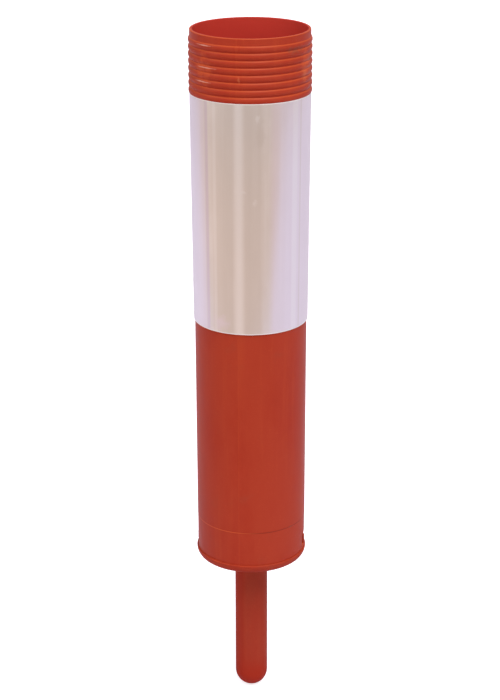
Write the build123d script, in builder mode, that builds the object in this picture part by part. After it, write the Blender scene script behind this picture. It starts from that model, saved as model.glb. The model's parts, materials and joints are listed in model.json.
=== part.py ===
from build123d import *
from math import cos, degrees, radians, sin, tan
import os

# Delineator post: a hollow drafted tube with a ribbed neck, a reflective sleeve pushed up
# its taper, and a twist-locked base plug that carries a round spike for a socket in the road.
# Millimetres. z = 0 is the flat underside of the base plug, which stands on the road,
# +Z runs up the post's axis, and angles are counted from +X towards +Y.

# ---- driving sizes ----
post_height = 480.6  # road to rim
neck_height = 53.1  # rim down to the sleeve's top edge
sleeve_height = 200.0  # width of the reflective sheeting
spike_reach = 137.4  # road down to the spike's tip
foot_radius = 48.1  # tube at its lower end
spike_radius = 14.7

# tube, from the foot up
tube_wall = 2.0
foot_flare = 0.2  # how much wider the tube gets from its foot to the step line
step_line_height = 40.1  # road to the step line, where the plug's spigot ends
step_depth = 0.12
lower_draft = 0.107  # degrees, from the step line to the sleeve
seat_draft = 0.4412  # degrees, under the sleeve
neck_step = 0.49  # neck beyond the top of the sleeve's seat
neck_thickening = 0.4  # neck wall beyond the tube's
bore_margin = 3.1  # the straight bore of the neck ends this far above the sleeve
rim_outer_round = 0.9
rim_inner_round = 0.6

# ribs of the neck
rib_count = 8
rib_gap = 0.63  # flat land between two ribs
rib_height = 1.15
first_rib_drop = 8.8  # rim down to the first rib's crest
last_rib_rise = 2.1  # sleeve's top edge up to the last rib's crest

# sleeve
sleeve_thickness = 0.9
sleeve_gap = 0.05  # adhesive line under the sleeve
overlap_width = 14.0
overlap_thickness = 0.25
overlap_angle = 90.0  # the sheeting's ends meet at the back

# base plug
lip_overhang = 1.3  # lip beyond the tube's foot
lip_edge_reach = 6.4  # how far in the rounded lower edge runs
lip_edge_height = 7.8  # how far up it runs
lip_top_round = 0.4  # edge of the shoulder that the tube stands on
floor_thickness = 3.2
spigot_wall = 2.2
spigot_lead_in = 0.7
boss_wall = 9.0
boss_top = 14.0
web_count = 6
web_thickness = 2.0
web_rise = 16.0  # how far a web climbs from the boss to the spigot
drain_radius = 3.0

# spike
spike_wall = 3.5
collar_step = 0.3  # the stretch held in the plug is this much wider than the peg
flange_thickness = 3.5
flange_inset = 0.7  # flange inside the boss's edge
weep_radius = 2.0

# screws that hold the spike's flange down
screw_count = 3
screw_angle = 90.0
screw_core_radius = 1.6
screw_length = 9.5
screw_head_radius = 3.6
screw_head_height = 2.4
screw_head_round = 0.8
screw_recess_radius = 1.8
screw_recess_width = 0.8
screw_recess_depth = 1.3
pilot_spare = 3.0  # pilot hole beyond the screw's end

# twist lock
lock_count = 2
slot_end_angle = -18.0  # closed end of the first locking slot, seen from the front
slot_height = 14.0  # from the tube's lower end to the slot's roof
slot_round = 4.0  # corners of a slot's roof
lug_width = 5.0
lug_height = 7.6
lug_drop = 3.2  # slot's roof down to the lug
lug_proud = 0.4  # lug beyond the tube's outer face
lug_round = 1.2
home_gap = 6.7  # between the lug and the closed end of its slot
tongue_overlap = 2.2  # how far short of the entry the lug stands
entry_play = 0.5  # entry wider than the lug, on each side

# fits
seat_gap = 0.1  # tube's lower end above the lip's shoulder
spigot_clearance = 0.1
spike_clearance = 0.05
lug_clearance = 0.35  # under the lug, and at the end of its slot
screw_clearance = 0.05
flange_hole_clearance = 0.5

# ---- places worked out from them ----
sleeve_top = post_height - neck_height
sleeve_bottom = sleeve_top - sleeve_height
lip_top = lip_edge_height + lip_top_round
foot_height = lip_top + seat_gap
mouth_depth = neck_height - bore_margin
spigot_top = step_line_height - seat_gap

line_radius = foot_radius + foot_flare + step_depth
seat_bottom_radius = line_radius + (sleeve_bottom - step_line_height) * tan(radians(lower_draft))
seat_top_radius = seat_bottom_radius + sleeve_height * tan(radians(seat_draft))
neck_radius = seat_top_radius + neck_step
mouth_radius = neck_radius - tube_wall - neck_thickening
bore_radius = foot_radius - tube_wall
sleeve_top_bore = seat_top_radius + sleeve_gap
sleeve_bottom_bore = seat_bottom_radius + sleeve_gap

first_crest = post_height - first_rib_drop
rib_pitch = (neck_height - first_rib_drop - last_rib_rise) / (rib_count - 1)
rib_width = rib_pitch - rib_gap
crest_heights = [first_crest - i * rib_pitch for i in range(rib_count)]

lip_radius = foot_radius + lip_overhang
spigot_radius = bore_radius - spigot_clearance
spigot_middle = spigot_radius - spigot_wall / 2
collar_radius = spike_radius + collar_step
collar_bore = collar_radius + spike_clearance
boss_radius = collar_radius + boss_wall
flange_radius = boss_radius - flange_inset
flange_top = boss_top + flange_thickness
spike_bore = spike_radius - spike_wall
tip_centre = spike_radius - spike_reach
screw_ring_radius = (collar_radius + boss_radius) / 2
screw_head_top = flange_top + screw_head_height
pilot_depth = screw_length - flange_thickness + pilot_spare

slot_radius = (bore_radius + foot_radius) / 2
slot_depth = 3 * tube_wall
slot_top = foot_height + slot_height
entry_width = lug_width + 2 * entry_play
lug_top = slot_top - lug_drop
lug_bottom = lug_top - lug_height
lug_outer_radius = foot_radius + lug_proud
tongue_top = lug_bottom - lug_clearance


def span(width):
    """Angle in degrees that a width takes up on the tube's lower end."""
    return degrees(width / foot_radius)


entry_span = span(entry_width)
lug_start = slot_end_angle + span(home_gap)
lug_angle = lug_start + span(lug_width) / 2  # middle of the lug as the post stands
entry_start = lug_start + span(lug_width + tongue_overlap)
home_turn = span(home_gap - lug_clearance)
unlock_turn = entry_start + entry_span / 2 - lug_angle
seam_angle = lug_angle + 180 / lock_count


def radial_plane(angle):
    """Upright half-plane through the axis: its X runs outwards at the angle, its Y runs up."""
    turn = radians(angle)
    return Plane(origin=(0, 0, 0), x_dir=(cos(turn), sin(turn), 0), z_dir=(sin(turn), -cos(turn), 0))


def tangent_plane(angle, radius):
    """Upright plane facing outwards at the angle and radius: its X runs round, its Y runs up."""
    turn = radians(angle)
    origin = (radius * cos(turn), radius * sin(turn), 0)
    return Plane(origin=origin, x_dir=(-sin(turn), cos(turn), 0), z_dir=(cos(turn), sin(turn), 0))


def web_angle(step):
    """Angle of a web, counted in steps from the first."""
    return step * 360 / web_count


def save(piece, name):
    """Label a finished piece and write its file."""
    piece.part.label = name
    export_step(piece.part, f"parts/{name}.step")


os.makedirs("parts", exist_ok=True)

# ---- tube: half-section turned about the axis, with its seam midway between two locks ----
with BuildPart() as post_tube:
    with BuildSketch(radial_plane(seam_angle)):
        with BuildLine():
            Polyline(
                (bore_radius, foot_height),
                (foot_radius, foot_height),
                (line_radius - step_depth, step_line_height),
                (line_radius, step_line_height),
                (seat_bottom_radius, sleeve_bottom),
                (seat_top_radius, sleeve_top),
                (neck_radius, sleeve_top),
                (neck_radius, post_height),
                (mouth_radius, post_height),
                (mouth_radius, post_height - mouth_depth),
                (seat_bottom_radius - tube_wall, sleeve_bottom),
                (bore_radius, step_line_height),
                close=True,
            )
        make_face()
        rim_corners = vertices().filter_by_position(Axis.Y, post_height, post_height)
        fillet(rim_corners.sort_by(Axis.X)[-1], radius=rim_outer_round)
        rim_corners = vertices().filter_by_position(Axis.Y, post_height, post_height)
        fillet(rim_corners.sort_by(Axis.X)[0], radius=rim_inner_round)
        for crest in crest_heights:
            with BuildLine():
                ThreePointArc(
                    (neck_radius, crest + rib_width / 2),
                    (neck_radius + rib_height, crest),
                    (neck_radius, crest - rib_width / 2),
                )
                Line((neck_radius, crest - rib_width / 2), (neck_radius, crest + rib_width / 2))
            make_face()
        with Locations((seat_top_radius, sleeve_top)):
            Rectangle(2 * neck_radius, rib_width, align=(Align.MIN, Align.MAX), mode=Mode.SUBTRACT)
    revolve(axis=Axis.Z)

    # each twist lock: a locking slot round the wall, and an entry slot up into its far end
    for i in range(lock_count):
        turn = i * 360 / lock_count
        with BuildSketch(radial_plane(slot_end_angle + turn)):
            with Locations((slot_radius, slot_top)):
                Rectangle(slot_depth, slot_top - tongue_top, align=(Align.CENTER, Align.MAX))
        locking_arc = entry_start + entry_span / 2 - slot_end_angle
        revolve(axis=Axis.Z, revolution_arc=locking_arc, mode=Mode.SUBTRACT)
        with BuildSketch(radial_plane(entry_start + turn)):
            with Locations((slot_radius, 0)):
                Rectangle(slot_depth, slot_top, align=(Align.CENTER, Align.MIN))
        revolve(axis=Axis.Z, revolution_arc=entry_span, mode=Mode.SUBTRACT)
    slot_roof = edges().filter_by_position(Axis.Z, slot_top, slot_top).filter_by(GeomType.LINE)
    fillet(slot_roof, radius=slot_round)
save(post_tube, "post_tube")

# ---- sleeve: one strip of sheeting wrapped round the taper, its ends lapped at the back ----
with BuildPart() as reflective_sleeve:
    with BuildSketch(Plane.XZ):
        with BuildLine():
            Polyline(
                (sleeve_bottom_bore, sleeve_bottom),
                (sleeve_bottom_bore + sleeve_thickness, sleeve_bottom),
                (sleeve_top_bore + sleeve_thickness, sleeve_top),
                (sleeve_top_bore, sleeve_top),
                close=True,
            )
        make_face()
    revolve(axis=Axis.Z)
    with BuildSketch(radial_plane(overlap_angle)):
        with BuildLine():
            Polyline(
                (sleeve_bottom_bore, sleeve_bottom),
                (sleeve_bottom_bore + sleeve_thickness + overlap_thickness, sleeve_bottom),
                (sleeve_top_bore + sleeve_thickness + overlap_thickness, sleeve_top),
                (sleeve_top_bore, sleeve_top),
                close=True,
            )
        make_face()
    revolve(axis=Axis.Z, revolution_arc=degrees(overlap_width / seat_top_radius))
save(reflective_sleeve, "reflective_sleeve")

# ---- base plug: lip and floor, a spigot up inside the tube, and a boss for the spike ----
with BuildPart() as base_plug:
    with BuildSketch(Plane.XZ):
        with BuildLine():
            edge_centre = (lip_radius - lip_edge_reach, lip_edge_height)
            Line((collar_bore, 0), (lip_radius - lip_edge_reach, 0))
            EllipticalCenterArc(edge_centre, lip_edge_reach, lip_edge_height, start_angle=270, arc_size=90)
            shoulder = (lip_radius - lip_top_round, lip_top)
            TangentArc((lip_radius, lip_edge_height), shoulder, tangent=(0, 1))
            Polyline(
                shoulder,
                (spigot_radius, lip_top),
                (spigot_radius, spigot_top),
                (spigot_radius - spigot_wall, spigot_top),
                (spigot_radius - spigot_wall, floor_thickness),
                (boss_radius, floor_thickness),
                (boss_radius, boss_top),
                (collar_bore, boss_top),
                (collar_bore, 0),
            )
        make_face()
    revolve(axis=Axis.Z)
    spigot_mouth = edges().filter_by_position(Axis.Z, spigot_top, spigot_top).sort_by(SortBy.RADIUS)[-1]
    chamfer(spigot_mouth, length=spigot_lead_in)

    # webs from the boss to the spigot, rising outwards
    for i in range(web_count):
        with BuildSketch(radial_plane(web_angle(i))):
            with BuildLine():
                Polyline(
                    (boss_radius - web_thickness, floor_thickness - web_thickness),
                    (spigot_middle, floor_thickness - web_thickness),
                    (spigot_middle, boss_top + web_rise),
                    (boss_radius, boss_top),
                    (boss_radius - web_thickness, boss_top),
                    close=True,
                )
            make_face()
        extrude(amount=web_thickness / 2, both=True)

    # drain holes between the webs, and pilot holes for the screws
    with PolarLocations((boss_radius + spigot_radius) / 2, web_count, start_angle=web_angle(0.5)):
        Hole(radius=drain_radius, depth=2 * floor_thickness)
    with Locations((0, 0, boss_top)):
        with PolarLocations(screw_ring_radius, screw_count, start_angle=screw_angle):
            Hole(radius=screw_core_radius + screw_clearance, depth=pilot_depth)

    # lugs that stand in the tube's locking slots, flat-faced, with rounded upper corners
    for i in range(lock_count):
        with BuildSketch(tangent_plane(lug_angle + i * 360 / lock_count, spigot_middle)):
            with Locations((0, lug_top)):
                Rectangle(lug_width, lug_height, align=(Align.CENTER, Align.MAX))
            fillet(vertices().group_by(Axis.Y)[-1], radius=lug_round)
        extrude(amount=lug_outer_radius - spigot_middle)
save(base_plug, "base_plug")

# ---- spike: a hollow moulded peg with a round tip, hung in the plug by its flange ----
with BuildPart() as spike:
    with BuildSketch(Plane.XZ):
        with BuildLine():
            tip_end = (weep_radius, tip_centre - (spike_radius**2 - weep_radius**2) ** 0.5)
            hollow_end = (weep_radius, tip_centre - (spike_bore**2 - weep_radius**2) ** 0.5)
            RadiusArc(tip_end, (spike_radius, tip_centre), -spike_radius)
            Polyline(
                (spike_radius, tip_centre),
                (spike_radius, 0),
                (collar_radius, 0),
                (collar_radius, boss_top),
                (flange_radius, boss_top),
                (flange_radius, flange_top),
                (spike_bore, flange_top),
                (spike_bore, tip_centre),
            )
            RadiusArc((spike_bore, tip_centre), hollow_end, spike_bore)
            Line(hollow_end, tip_end)
        make_face()
    revolve(axis=Axis.Z)
    with Locations((0, 0, flange_top)):
        with PolarLocations(screw_ring_radius, screw_count, start_angle=screw_angle):
            Hole(radius=screw_core_radius + flange_hole_clearance, depth=flange_thickness)
save(spike, "spike")

# ---- screws: pan heads with a cross recess, shanks at the thread's core size ----
with BuildPart() as spike_screws:
    with Locations((0, 0, flange_top)):
        with PolarLocations(screw_ring_radius, screw_count, start_angle=screw_angle):
            Cylinder(screw_core_radius, screw_length, align=(Align.CENTER, Align.CENTER, Align.MAX))
            Cylinder(screw_head_radius, screw_head_height, align=(Align.CENTER, Align.CENTER, Align.MIN))
    head_rims = edges().filter_by_position(Axis.Z, screw_head_top, screw_head_top)
    fillet(head_rims, radius=screw_head_round)
    with Locations((0, 0, screw_head_top)):
        with PolarLocations(screw_ring_radius, screw_count, start_angle=screw_angle):
            for turn in (0, 90):
                Box(
                    2 * screw_recess_radius,
                    screw_recess_width,
                    screw_recess_depth,
                    rotation=(0, 0, turn),
                    align=(Align.CENTER, Align.CENTER, Align.MAX),
                    mode=Mode.SUBTRACT,
                )
save(spike_screws, "spike_screws")

print(f"the post turns {home_turn:.2f} degrees on to its stop, and {unlock_turn:.2f} back to its entry slots")
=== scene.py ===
import json
import math

import bpy
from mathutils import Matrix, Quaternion, Vector


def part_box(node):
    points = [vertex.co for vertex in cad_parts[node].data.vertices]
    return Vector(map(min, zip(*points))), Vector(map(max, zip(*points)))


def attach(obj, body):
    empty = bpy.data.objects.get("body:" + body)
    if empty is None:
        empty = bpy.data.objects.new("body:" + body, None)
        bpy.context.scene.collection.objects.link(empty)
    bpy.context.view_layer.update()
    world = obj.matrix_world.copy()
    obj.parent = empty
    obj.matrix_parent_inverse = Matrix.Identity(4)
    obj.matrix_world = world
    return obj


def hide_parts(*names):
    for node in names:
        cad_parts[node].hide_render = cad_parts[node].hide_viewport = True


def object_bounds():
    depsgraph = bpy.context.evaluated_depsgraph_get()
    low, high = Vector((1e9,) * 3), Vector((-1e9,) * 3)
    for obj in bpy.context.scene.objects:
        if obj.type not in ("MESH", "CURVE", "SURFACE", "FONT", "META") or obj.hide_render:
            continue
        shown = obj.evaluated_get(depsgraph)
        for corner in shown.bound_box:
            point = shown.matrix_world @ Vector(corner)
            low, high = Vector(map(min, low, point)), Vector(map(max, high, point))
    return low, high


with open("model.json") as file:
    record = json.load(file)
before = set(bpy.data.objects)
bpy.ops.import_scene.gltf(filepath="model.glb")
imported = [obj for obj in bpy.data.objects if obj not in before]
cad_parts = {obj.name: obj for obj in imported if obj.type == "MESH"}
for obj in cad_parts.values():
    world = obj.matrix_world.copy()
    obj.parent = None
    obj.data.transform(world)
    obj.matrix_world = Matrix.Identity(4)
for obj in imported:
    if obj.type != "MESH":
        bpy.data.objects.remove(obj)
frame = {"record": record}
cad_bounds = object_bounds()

bl_info = {
    "name": "Delineator Post",
    "version": (1, 0, 0),
    "blender": (4, 5, 0),
    "location": "3D View > Sidebar > Post",
    "description": "Models the pieces, finishes and studio of a ribbed delineator post on its CAD frame",
    "category": "Object",
}

MM = 0.001
UP = Vector((0, 0, 1))
FULL_TURN = 2 * math.pi
WELD = 0.001 * MM  # points closer than this are one point

tube_low, tube_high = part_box("post_tube")
sleeve_low, sleeve_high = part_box("reflective_sleeve")
plug_low, plug_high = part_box("base_plug")
spike_low, spike_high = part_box("spike")
screws_low, screws_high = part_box("spike_screws")
mounts = {mount["name"]: mount for mount in frame["record"]["mounts"]}


# ---- sizes and colours that a user would change ----


def length(name, description, default):
    """A length in metres."""
    return bpy.props.FloatProperty(
        name=name, description=description, default=default, unit="LENGTH", precision=5
    )


def angle(name, description, default):
    """An angle, given here in degrees."""
    return bpy.props.FloatProperty(
        name=name, description=description, default=math.radians(default), subtype="ANGLE"
    )


def amount(name, description, default):
    """A share from 0 to 1."""
    return bpy.props.FloatProperty(
        name=name, description=description, default=default, min=0, max=1, subtype="FACTOR"
    )


def number(name, description, default):
    """A plain number."""
    return bpy.props.FloatProperty(name=name, description=description, default=default)


def count(name, description, default, least=1):
    """A number of repeats."""
    return bpy.props.IntProperty(name=name, description=description, default=default, min=least)


def colour(name, description, default):
    """A colour in scene linear values."""
    return bpy.props.FloatVectorProperty(
        name=name, description=description, default=default, size=3, min=0, max=1, subtype="COLOR"
    )


class TubeSettings(bpy.types.PropertyGroup):
    rib_count: count("Ribs", "Rings round the neck", 8, least=2)
    rib_height: length("Rib height", "How far a rib stands out of the neck", 1.15 * MM)
    rib_width: length("Rib width", "Chord of a rib where it meets the neck", 5.4 * MM)
    valley_round: length("Valley round", "Radius at the foot of a rib's flanks", 0.35 * MM)
    first_rib_drop: length("First rib", "From the rim down to the first rib's crest", 8.8 * MM)
    last_rib_rise: length("Last rib", "From the sleeve up to the last rib's crest", 2.1 * MM)
    neck_step: length("Neck step", "How far the neck stands out past the sleeve's seat", 0.49 * MM)
    rim_outer_round: length("Outer rim round", "Radius of the rim's outer edge", 0.9 * MM)
    rim_inner_round: length("Inner rim round", "Radius of the rim's inner edge", 0.6 * MM)
    seat_draft: angle("Seat draft", "Taper of the tube under the sleeve", 0.4412)
    lower_draft: angle("Lower draft", "Taper of the tube under the sleeve's seat", 0.107)
    wall: length("Wall", "Thickness of the tube's wall", 2.0 * MM)
    step_depth: length("Step depth", "Depth of the step line", 0.12 * MM)
    foot_flare: length("Foot flare", "Growth in radius from the foot to the step line", 0.2 * MM)
    parting_angle: angle("Parting line", "Azimuth of the mould's parting line, from the front", -13.0)
    parting_height: length("Parting height", "Height of the ridge left by the mould", 0.08 * MM)
    parting_width: length("Parting width", "Half width of the ridge left by the mould", 0.35 * MM)
    slot_end: angle("Slot end", "Polar angle of the first locking slot's closed end", -18.0)
    slot_height: length("Slot height", "From the tube's lower end to a slot's roof", 14.0 * MM)
    slot_round: length("Slot round", "Radius of a slot's roof corners", 4.0 * MM)
    home_gap: length("Home gap", "From the lug to the closed end of its slot", 6.7 * MM)
    tongue_overlap: length("Tongue overlap", "How far short of the entry the lug stands", 2.2 * MM)
    entry_play: length("Entry play", "Space on each side of a lug in its entry slot", 0.5 * MM)


class SleeveSettings(bpy.types.PropertyGroup):
    gap: length("Adhesive gap", "Space under the sheeting", 0.05 * MM)
    edge_round: length("Edge round", "Radius of the sheeting's cut edges", 0.18 * MM)
    overlap_width: length("Overlap", "Width of the lap where the sheeting's ends meet", 14.0 * MM)
    overlap_angle: angle("Overlap angle", "Polar angle where the lap starts", 90.0)


class PlugSettings(bpy.types.PropertyGroup):
    lip_edge_reach: length("Lip edge reach", "How far in the lip's rounded lower edge runs", 6.4 * MM)
    lip_edge_height: length("Lip edge height", "How far up the lip's lower edge runs", 7.8 * MM)
    lip_top_round: length("Lip top round", "Edge of the shoulder under the tube", 0.4 * MM)
    floor_thickness: length("Floor", "Thickness of the floor", 3.2 * MM)
    spigot_wall: length("Spigot wall", "Thickness of the spigot inside the tube", 2.2 * MM)
    spigot_lead_in: length("Lead-in", "Chamfer on the spigot's outer edge", 0.7 * MM)
    boss_wall: length("Boss wall", "Thickness of the boss round the spike", 9.0 * MM)
    boss_top: length("Boss top", "Height of the boss", 14.0 * MM)
    web_count: count("Webs", "Ribs inside the plug", 6)
    web_thickness: length("Web thickness", "Thickness of a web", 2.0 * MM)
    web_rise: length("Web rise", "How far a web climbs from the boss to the spigot", 16.0 * MM)
    drain_radius: length("Drain radius", "Radius of the drain holes", 3.0 * MM)
    fit: length("Spigot fit", "Radial clearance of the spigot in the tube", 0.1 * MM)
    seat_gap: length("Seat gap", "Space between the lip's shoulder and the tube", 0.1 * MM)
    lug_width: length("Lug width", "Width of a lug", 5.0 * MM)
    lug_height: length("Lug height", "Height of a lug", 7.6 * MM)
    lug_drop: length("Lug drop", "From the slot's roof down to the lug", 3.2 * MM)
    lug_proud: length("Lug proud", "How far a lug stands out past the tube", 0.4 * MM)
    lug_round: length("Lug round", "Radius of a lug's upper corners", 1.2 * MM)
    lug_clearance: length("Lug clearance", "Space under a lug", 0.35 * MM)


class SpikeSettings(bpy.types.PropertyGroup):
    wall: length("Wall", "Thickness of the spike's wall", 3.5 * MM)
    collar_step: length("Collar step", "Extra radius of the stretch held in the plug", 0.3 * MM)
    collar_fit: length("Collar fit", "Clearance of the collar in the plug", 0.05 * MM)
    weep_radius: length("Weep hole", "Radius of the drain hole in the tip", 2.0 * MM)
    screw_count: count("Screws", "Screws in the flange", 3)
    screw_core: length("Screw core", "Radius of a screw's shank", 1.6 * MM)
    screw_hole_spare: length("Hole spare", "Clearance of a screw in the flange", 0.5 * MM)
    screw_head: length("Screw head", "Radius of a screw's head", 3.6 * MM)
    screw_head_height: length("Head height", "Height of a screw's head", 2.4 * MM)
    recess_reach: length("Recess reach", "Half length of the cross recess", 1.8 * MM)
    recess_width: length("Recess width", "Width of the cross recess", 0.8 * MM)
    recess_depth: length("Recess depth", "Depth of the cross recess", 1.3 * MM)


class FinishSettings(bpy.types.PropertyGroup):
    plastic: colour("Plastic", "Body colour of the moulded tube", (0.465, 0.050, 0.022))
    # Pale plastic: rubbed and stressed plastic, and also painted highlights.
    plastic_pale_and_highlight: colour("Pale plastic", "Rubbed and stressed plastic, and painted highlights", (0.82, 0.150, 0.040))
    # Deep plastic: thick colour, and also painted shade.
    plastic_deep_and_shade: colour("Deep plastic", "Plastic where the colour lies thick, and painted shade", (0.40, 0.026, 0.011))
    # Painted light inside the mouth.
    plastic_inside_painted_light: colour("Inner plastic", "Painted light on the plastic inside the mouth", (0.66, 0.055, 0.038))
    plug_plastic: colour("Plug plastic", "Body colour of the base plug", (0.44, 0.053, 0.027))
    spike_plastic: colour("Spike plastic", "Body colour of the spike", (0.40, 0.054, 0.028))
    sheeting: colour("Sheeting", "Silver of the reflective sheeting", (0.90, 0.87, 0.86))
    # Pale and dark sheeting also serve as painted highlights and painted dark reflections.
    sheeting_pale: colour("Pale sheeting", "Rubbed silver, painted highlights and the cut edges", (0.99, 0.98, 0.99))
    sheeting_dark: colour("Dark sheeting", "Streaks in the silver, and painted dark reflections", (0.78, 0.735, 0.70))
    # Painted bluish reflection on the sheeting.
    sheeting_reflected_tint: colour("Reflected tint", "Painted bluish reflection on the sheeting", (0.92, 0.85, 0.95))
    plastic_shaded: colour("Shaded plastic", "Plastic deep in the lock's slots", (0.11, 0.010, 0.006))
    dirt: colour("Dirt", "Road film", (0.17, 0.09, 0.06))
    zinc: colour("Zinc", "Plating of the screws", (0.62, 0.62, 0.60))
    dirt_amount: amount("Dirt amount", "How much road film lies on the plastic", 0.12)
    # How much painted light lies on the plastic faces that look up.
    painted_top_light_amount: amount("Top light amount", "How much painted light lies on the faces that look up", 0.55)


class StageSettings(bpy.types.PropertyGroup):
    floor_size: length("Floor size", "Side of the floor", 24.0)
    floor_pale: colour("Floor", "Floor beside and behind the post", (0.80, 0.75, 0.87))
    floor_warm: colour("Warm floor", "Floor in front of the post", (0.70, 0.56, 0.49))
    floor_glow: amount("Floor glow", "How much the floor is lifted towards white", 0.78)
    camera_back: length("Camera distance", "From the post's axis to the camera, along the ground", 1.5327)
    camera_height: length("Camera height", "Height of the camera over the road", 0.7627)
    camera_pitch: angle("Camera pitch", "How far the camera looks down", 20.296)
    camera_roll: angle("Camera roll", "Turn about the line of sight", -0.12)
    camera_lens: bpy.props.FloatProperty(
        name="Lens", description="Focal length", default=95.37, unit="CAMERA"
    )
    sky_strength: number("Sky", "Strength of the room light overhead", 0.30)
    horizon_strength: number("Horizon", "Strength low round the room", 0.60)
    key_strength: number("Key", "Strength of the top light", 2.1)
    key_forward: angle("Key forward", "How far the top light leans in from the front", 27.0)
    key_aside: angle("Key aside", "How far the top light leans in from the right", 14.0)
    key_spread: angle("Key spread", "How wide the top light is in the sky", 34.0)
    side_strength: number("Side", "Power of the left softbox", 9.0)


# ---- modelling by hand, in code ----


def deselect():
    """Object mode with nothing selected."""
    if bpy.context.mode != "OBJECT":
        bpy.ops.object.mode_set(mode="OBJECT")
    bpy.ops.object.select_all(action="DESELECT")


def name_piece(name):
    """Names the object just added, and its mesh."""
    piece = bpy.context.object
    piece.name = name
    piece.data.name = name
    return piece


def work_on(piece):
    """Makes a piece the only one selected, and the active one."""
    deselect()
    piece.select_set(True)
    bpy.context.view_layer.objects.active = piece


def select_where(piece, kind, test):
    """Selects the vertices or edges of a piece in edit mode whose middle passes the test."""
    bpy.ops.object.mode_set(mode="EDIT")
    bpy.ops.mesh.select_mode(type={"vertices": "VERT", "edges": "EDGE", "polygons": "FACE"}[kind])
    bpy.ops.mesh.select_all(action="DESELECT")
    bpy.ops.object.mode_set(mode="OBJECT")
    mesh = piece.data
    points = [vertex.co for vertex in mesh.vertices]
    if kind == "vertices":
        for vertex in mesh.vertices:
            vertex.select = test(vertex.co)
    elif kind == "edges":
        for edge in mesh.edges:
            edge.select = all(test(points[i]) for i in edge.vertices)
    else:
        for face in mesh.polygons:
            face.select = test(face.center)
    bpy.ops.object.mode_set(mode="EDIT")


def leave_edit():
    """Back to object mode."""
    bpy.ops.object.mode_set(mode="OBJECT")


def edit_all():
    """Edit mode with everything selected."""
    bpy.ops.object.mode_set(mode="EDIT")
    bpy.ops.mesh.select_all(action="SELECT")


def weld():
    """Makes one point of those that coincide, all through the piece in edit mode."""
    bpy.ops.mesh.select_all(action="SELECT")
    bpy.ops.mesh.remove_doubles(threshold=WELD)


def face_outwards():
    """Turns every face of the piece in edit mode outwards."""
    bpy.ops.mesh.select_all(action="SELECT")
    bpy.ops.mesh.normals_make_consistent(inside=False)


def draw_outline(name, points):
    """A closed outline of edges, drawn from one vertex by extruding it from point to point."""
    deselect()
    bpy.ops.mesh.primitive_plane_add(size=MM, location=(0, 0, 0))
    piece = name_piece(name)
    bpy.ops.object.mode_set(mode="EDIT")
    bpy.ops.mesh.select_mode(type="VERT")
    bpy.ops.mesh.select_all(action="SELECT")
    bpy.ops.mesh.merge(type="CENTER")
    bpy.ops.transform.translate(value=points[0])
    for here, there in zip(points, points[1:] + points[:1]):
        bpy.ops.mesh.extrude_region_move(TRANSFORM_OT_translate={"value": there - here})
    weld()
    return piece


def section(points, turn=0.0):
    """Points given as (radius, height), stood up in the half-plane at a polar angle."""
    return [Vector((r * math.cos(turn), r * math.sin(turn), z)) for r, z in points]


def turn_solid(name, points, steps, start=0.0, sweep=FULL_TURN):
    """A solid made by spinning a closed half-section about the axis, anticlockwise seen from above."""
    piece = draw_outline(name, section(points, start))
    if sweep != FULL_TURN:
        bpy.ops.mesh.edge_face_add()
    bpy.ops.mesh.spin(steps=steps, angle=-sweep, center=(0, 0, 0), axis=UP)
    weld()
    face_outwards()
    leave_edit()
    return piece


def push_solid(name, points, push):
    """A solid made by pushing a closed flat outline along."""
    piece = draw_outline(name, points)
    bpy.ops.mesh.edge_face_add()
    bpy.ops.mesh.extrude_region_move(TRANSFORM_OT_translate={"value": push})
    face_outwards()
    return piece


def arc(centre, reach, start, end, steps, rise=None):
    """Points round an arc, angles in degrees from outwards towards up. A rise makes it an ellipse."""
    turns = [math.radians(start + (end - start) * i / steps) for i in range(steps + 1)]
    rise = rise or reach
    return [(centre[0] + reach * math.cos(t), centre[1] + rise * math.sin(t)) for t in turns]


def copies_round(piece, times, start=0.0):
    """Copies of a piece turned about the axis, each with its own mesh. The first turn is the start."""
    made = []
    for i in range(times):
        work_on(piece)
        bpy.ops.object.duplicate(linked=False)
        copy = bpy.context.object
        edit_all()
        turn_selected(start + i * FULL_TURN / times)
        leave_edit()
        made.append(copy)
    bpy.data.objects.remove(piece)
    return made


def turn_selected(turn):
    """Turns the selected vertices about the post's axis, anticlockwise seen from above."""
    bpy.ops.transform.rotate(value=-turn, orient_axis="Z", center_override=(0, 0, 0))


def join(pieces, name):
    """One object out of several."""
    work_on(pieces[0])
    for piece in pieces:
        piece.select_set(True)
    if len(pieces) > 1:
        bpy.ops.object.join()
    return name_piece(name)


def combine(piece, tool, operation):
    """Joins a tool piece to a piece, or cuts it away, and throws the tool away."""
    work_on(piece)
    modifier = piece.modifiers.new("shape", "BOOLEAN")
    modifier.object = tool
    modifier.operation = operation
    modifier.solver = "EXACT"
    bpy.ops.object.modifier_apply(modifier=modifier.name)
    bpy.data.objects.remove(tool)


def finish_piece(piece, material, body, nodes, smooth=35):
    """Shades a finished piece, hangs it on its body and hides the CAD parts that it takes the place of."""
    work_on(piece)
    bpy.ops.object.mode_set(mode="EDIT")
    weld()
    leave_edit()
    bpy.ops.object.shade_smooth_by_angle(angle=math.radians(smooth))
    piece.data.materials.clear()
    piece.data.materials.append(material)
    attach(piece, body)
    if nodes:
        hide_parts(*nodes)
    piece.select_set(False)


# ---- shared places ----


def tube_radii(tube):
    """Radii down the tube: neck, top and bottom of the sleeve's seat, step line and foot."""
    neck = tube_high.x - tube.rib_height
    seat_top = neck - tube.neck_step
    seat_bottom = seat_top - (sleeve_high.z - sleeve_low.z) * math.tan(tube.seat_draft)
    line = seat_bottom - (sleeve_low.z - plug_high.z) * math.tan(tube.lower_draft)
    return neck, seat_top, seat_bottom, line, line - tube.step_depth - tube.foot_flare


def rib_crests(tube):
    """Heights of the ribs' crests, from the rim down."""
    first = tube_high.z - tube.first_rib_drop
    last = sleeve_high.z + tube.last_rib_rise
    return [first + (last - first) * i / (tube.rib_count - 1) for i in range(tube.rib_count)]


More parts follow.
